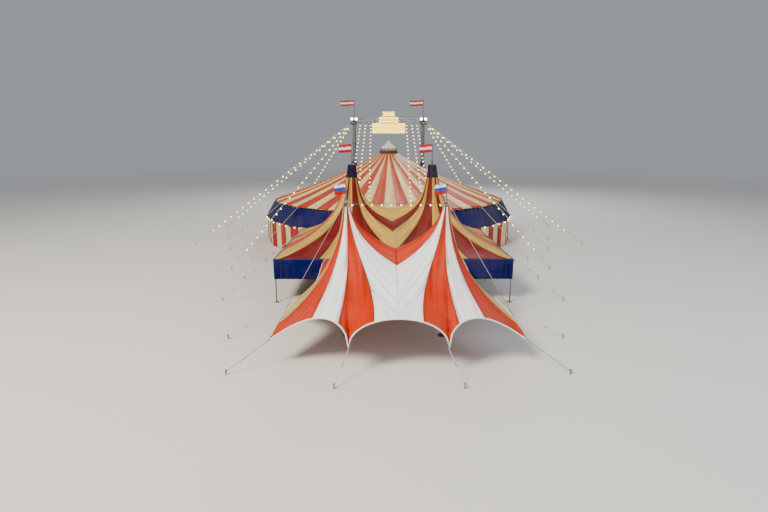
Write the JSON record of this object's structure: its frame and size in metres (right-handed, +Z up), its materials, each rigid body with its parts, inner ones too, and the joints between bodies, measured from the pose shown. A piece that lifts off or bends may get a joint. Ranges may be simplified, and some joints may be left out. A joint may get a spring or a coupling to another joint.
{
  "type": "circus big top tent with foyer and entrance tents, 1:2 scale model",
  "caption": "Circus tent at half size: a round big top with bridge masts, a two-peaked foyer tent and an arched two-peaked entrance canopy, with guy ropes and stakes.",
  "frame": {"origin": "on the ground, at the middle of the bounding box's bottom", "axes": "+Z up, the entrance faces -Y, +X to the right of someone facing +Y into the tent"},
  "size_m": [17.4366, 23.8058, 6.425],
  "materials": {
    "striped_cloth": "coated tent cloth in orange-red and cream gores",
    "red_cloth": "coated tent cloth, matt",
    "cream_cloth": "coated tent cloth, matt",
    "navy_cloth": "coated tent cloth, matt",
    "flag_cloth": "thin woven flag cloth in plain bands",
    "galvanised_steel": "dull galvanised steel tube",
    "painted_steel": "grey painted steel",
    "truss_alloy": "bare aluminium tube",
    "lit_panel": "lit warm panel with a bulb border, no lettering",
    "rope": "pale synthetic rope"
  },
  "bodies": {
    "root": {"main_roof_front": "striped_cloth", "main_roof_right": "striped_cloth", "main_roof_back": "striped_cloth", "main_roof_left": "striped_cloth", "cupola_ring": "red_cloth", "cupola_cap": "cream_cloth", "main_skirt_front": "navy_cloth", "main_skirt_right": "navy_cloth", "main_skirt_back": "navy_cloth", "main_skirt_left": "navy_cloth", "main_wall_right": "striped_cloth", "main_wall_back": "striped_cloth", "main_wall_left": "striped_cloth", "eave_frame_front": "galvanised_steel", "eave_frame_right": "galvanised_steel", "eave_frame_back": "galvanised_steel", "eave_frame_left": "galvanised_steel", "main_mast_left": "painted_steel", "main_mast_right": "painted_steel", "mast_stays_left": "rope", "mast_stays_right": "rope", "bridge_truss": "truss_alloy", "light_board": "lit_panel", "floodlamps_left": "painted_steel", "floodlamps_right": "painted_steel", "main_flag_left": "flag_cloth", "main_flag_right": "flag_cloth", "foyer_canopy_left": "striped_cloth", "foyer_canopy_right": "striped_cloth", "foyer_mast_left": "painted_steel", "foyer_mast_right": "painted_steel", "foyer_frame_left": "galvanised_steel", "foyer_frame_right": "galvanised_steel", "foyer_valance_left": "navy_cloth", "foyer_valance_right": "navy_cloth", "foyer_flag_left": "flag_cloth", "foyer_flag_right": "flag_cloth", "entrance_canopy_left": "striped_cloth", "entrance_canopy_right": "striped_cloth", "entrance_mast_left": "painted_steel", "entrance_mast_right": "painted_steel", "entrance_corner_stay_left": "rope", "entrance_corner_stay_right": "rope", "entrance_front_guy_left": "rope", "entrance_front_guy_right": "rope", "entrance_side_guy_left": "rope", "entrance_side_guy_right": "rope", "entrance_ridge_cable": "rope", "entrance_flag_left": "flag_cloth", "entrance_flag_right": "flag_cloth"}
  },
  "joints": []
}
